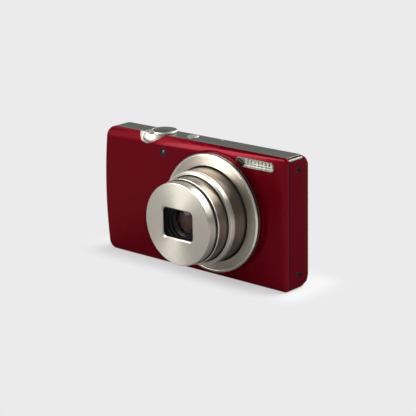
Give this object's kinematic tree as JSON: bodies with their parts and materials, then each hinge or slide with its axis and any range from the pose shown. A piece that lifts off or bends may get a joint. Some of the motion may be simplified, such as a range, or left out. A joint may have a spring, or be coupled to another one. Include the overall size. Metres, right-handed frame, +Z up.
{
  "type": "compact digital camera",
  "caption": "Compact digital camera with a telescoping zoom lens, rounded red metal shells, a rear screen, push buttons and a hinged battery door.",
  "frame": {"origin": "centre of the flat base, midway along the body and midway through the body shell", "axes": "+X to the right seen from the front, -Y out of the lens, +Z up"},
  "size_m": [0.0952, 0.04, 0.0533],
  "materials": {
    "front_red": "metallic red paint, satin gloss",
    "rear_red": "darker red paint, satin",
    "top_grey": "dark brushed grey",
    "bright_trim": "bright satin metal",
    "bezel_silver": "warm brushed silver",
    "front_silver": "brushed silver",
    "barrel_grey": "dark warm grey, turned",
    "button_dark": "dark gunmetal",
    "black_plastic": "matte black",
    "blade_black": "matte black",
    "lens_glass": "coated lens glass",
    "flash_clear": "clear ribbed",
    "reflector_bright": "polished",
    "tube_glass": "clear",
    "lamp_dark": "dark red tint",
    "led_clear": "clear resin",
    "steel": "plain",
    "screw_black": "blackened",
    "gold_contact": "gold plated",
    "board_green": "solder mask",
    "sensor_dark": "dark cover glass",
    "screen_glass": "black glass",
    "panel_dark": "dark",
    "key_grey": "dark silver",
    "movie_key": "dark silver with a red dot",
    "thumb_pad": "soft black",
    "flap_dark": "red plastic",
    "battery_case": "dark grey",
    "card_blue": "dark blue",
    "capacitor_sleeve": "black sleeve",
    "mic_dark": "mesh"
  },
  "bodies": {
    "camera_body": {"af_lamp_lens": "lamp_dark", "af_led": "led_clear", "battery": "battery_case", "battery_contacts": "gold_contact", "battery_holder": "black_plastic", "bezel_base_ring": "black_plastic", "bottom_screws": "screw_black", "card_socket": "steel", "chassis": "steel", "flash_capacitor": "capacitor_sleeve", "flash_reflector": "reflector_bright", "flash_tube": "tube_glass", "flash_window": "flash_clear", "focus_rods": "steel", "front_cover": "front_red", "image_sensor": "sensor_dark", "indicator_lamp": "led_clear", "lens_bezel": "bezel_silver", "lens_housing": "black_plastic", "lever_scoop": "bright_trim", "main_board": "board_green", "memory_card": "card_blue", "microphone": "mic_dark", "rear_cover": "rear_red", "screen_panel": "panel_dark", "screen_window": "screen_glass", "sensor_board": "board_green", "side_screws": "screw_black", "speaker": "black_plastic", "strap_bar": "steel", "thumb_rest": "thumb_pad", "top_board": "board_green", "top_cover": "top_grey", "tripod_socket": "steel", "usb_socket": "black_plastic", "zoom_motor": "steel"},
    "zoom_stage_1": {"zoom_barrel_1": "barrel_grey", "barrel_1_trim": "bright_trim"},
    "zoom_stage_2": {"zoom_barrel_2": "barrel_grey", "shutter_unit": "black_plastic", "rear_lens": "lens_glass"},
    "zoom_stage_3": {"front_barrel": "front_silver", "front_lens_ring": "black_plastic", "front_lens": "lens_glass"},
    "upper_blade": {"barrier_blade_upper": "blade_black"},
    "lower_blade": {"barrier_blade_lower": "blade_black"},
    "focus_group": {"focus_lens": "lens_glass"},
    "zoom_lever": {"zoom_lever": "bright_trim"},
    "shutter_button": {"shutter_button": "button_dark"},
    "power_button": {"power_button": "bright_trim"},
    "movie_button": {"movie_button": "movie_key"},
    "playback_button": {"playback_button": "key_grey"},
    "auto_button": {"auto_button": "key_grey"},
    "menu_button": {"menu_button": "key_grey"},
    "control_ring": {"control_ring": "key_grey"},
    "set_button": {"set_button": "key_grey"},
    "door_pin": {"battery_door_pin": "steel"},
    "battery_door": {"battery_door": "rear_red"},
    "battery_latch": {"battery_latch": "black_plastic"},
    "terminal_cover": {"terminal_cover": "flap_dark"}
  },
  "joints": [
    {"name": "zoom_slide_1", "type": "slide", "parent": "camera_body", "child": "zoom_stage_1", "axis": [0, 1, 0], "range_m": [0, 0.008]},
    {"name": "zoom_slide_2", "type": "slide", "parent": "zoom_stage_1", "child": "zoom_stage_2", "axis": [0, 1, 0], "range_m": [0, 0.005]},
    {"name": "zoom_slide_3", "type": "slide", "parent": "zoom_stage_2", "child": "zoom_stage_3", "axis": [0, 1, 0], "range_m": [0, 0.0043]},
    {"name": "upper_blade_swing", "type": "hinge", "parent": "zoom_stage_3", "child": "upper_blade", "pos_m": [0.02645, -0.02995, 0.02505], "axis": [0, -1, 0], "range_deg": [0, 28], "stiffness_Nm_per_rad": 0.004},
    {"name": "lower_blade_swing", "type": "hinge", "parent": "zoom_stage_3", "child": "lower_blade", "pos_m": [0.00015, -0.02995, 0.02735], "axis": [0, -1, 0], "range_deg": [0, 28]},
    {"name": "focus_slide", "type": "slide", "parent": "camera_body", "child": "focus_group", "axis": [0, 1, 0], "range_m": [0, 0.0006]},
    {"name": "zoom_lever_turn", "type": "hinge", "parent": "camera_body", "child": "zoom_lever", "pos_m": [-0.0184, -0.0031, 0.0524], "axis": [0, 0, 1], "range_deg": [-18, 18], "stiffness_Nm_per_rad": 0.01},
    {"name": "shutter_press", "type": "slide", "parent": "camera_body", "child": "shutter_button", "axis": [0, 0, -1], "range_m": [0, 0.0005], "stiffness_N_per_m": 400},
    {"name": "power_press", "type": "slide", "parent": "camera_body", "child": "power_button", "axis": [0, 0, -1], "range_m": [0, 0.0003], "stiffness_N_per_m": 500},
    {"name": "movie_press", "type": "slide", "parent": "camera_body", "child": "movie_button", "axis": [0, -1, 0], "range_m": [0, 0.0003], "stiffness_N_per_m": 500},
    {"name": "playback_press", "type": "slide", "parent": "camera_body", "child": "playback_button", "axis": [0, -1, 0], "range_m": [0, 0.0003], "stiffness_N_per_m": 500},
    {"name": "auto_press", "type": "slide", "parent": "camera_body", "child": "auto_button", "axis": [0, -1, 0], "range_m": [0, 0.0003], "stiffness_N_per_m": 500},
    {"name": "menu_press", "type": "slide", "parent": "camera_body", "child": "menu_button", "axis": [0, -1, 0], "range_m": [0, 0.0003], "stiffness_N_per_m": 500},
    {"name": "control_ring_rock", "type": "hinge", "parent": "camera_body", "child": "control_ring", "pos_m": [-0.0304, 0.0079, 0.02], "axis": [1, 0, 0], "range_deg": [-1.5, 1.5], "stiffness_Nm_per_rad": 0.05},
    {"name": "set_press", "type": "slide", "parent": "camera_body", "child": "set_button", "axis": [0, -1, 0], "range_m": [0, 0.0003], "stiffness_N_per_m": 500},
    {"name": "door_slide", "type": "slide", "parent": "camera_body", "child": "door_pin", "axis": [-1, 0, 0], "range_m": [0, 0.002]},
    {"name": "door_swing", "type": "hinge", "parent": "door_pin", "child": "battery_door", "pos_m": [-0.0265, -0.00475, 0.00085], "axis": [-1, 0, 0], "range_deg": [0, 95]},
    {"name": "latch_press", "type": "slide", "parent": "camera_body", "child": "battery_latch", "axis": [1, 0, 0], "range_m": [0, 0.0014], "stiffness_N_per_m": 300},
    {"name": "terminal_cover_swing", "type": "hinge", "parent": "camera_body", "child": "terminal_cover", "pos_m": [-0.04685, -0.005, 0.028], "axis": [0, 0, 1], "range_deg": [0, 90]}
  ],
  "couplings": [
    {"joint": "zoom_slide_2", "follows": "zoom_slide_1", "ratio": 0.625},
    {"joint": "zoom_slide_3", "follows": "zoom_slide_1", "ratio": 0.5375},
    {"joint": "lower_blade_swing", "follows": "upper_blade_swing", "ratio": 1}
  ]
}
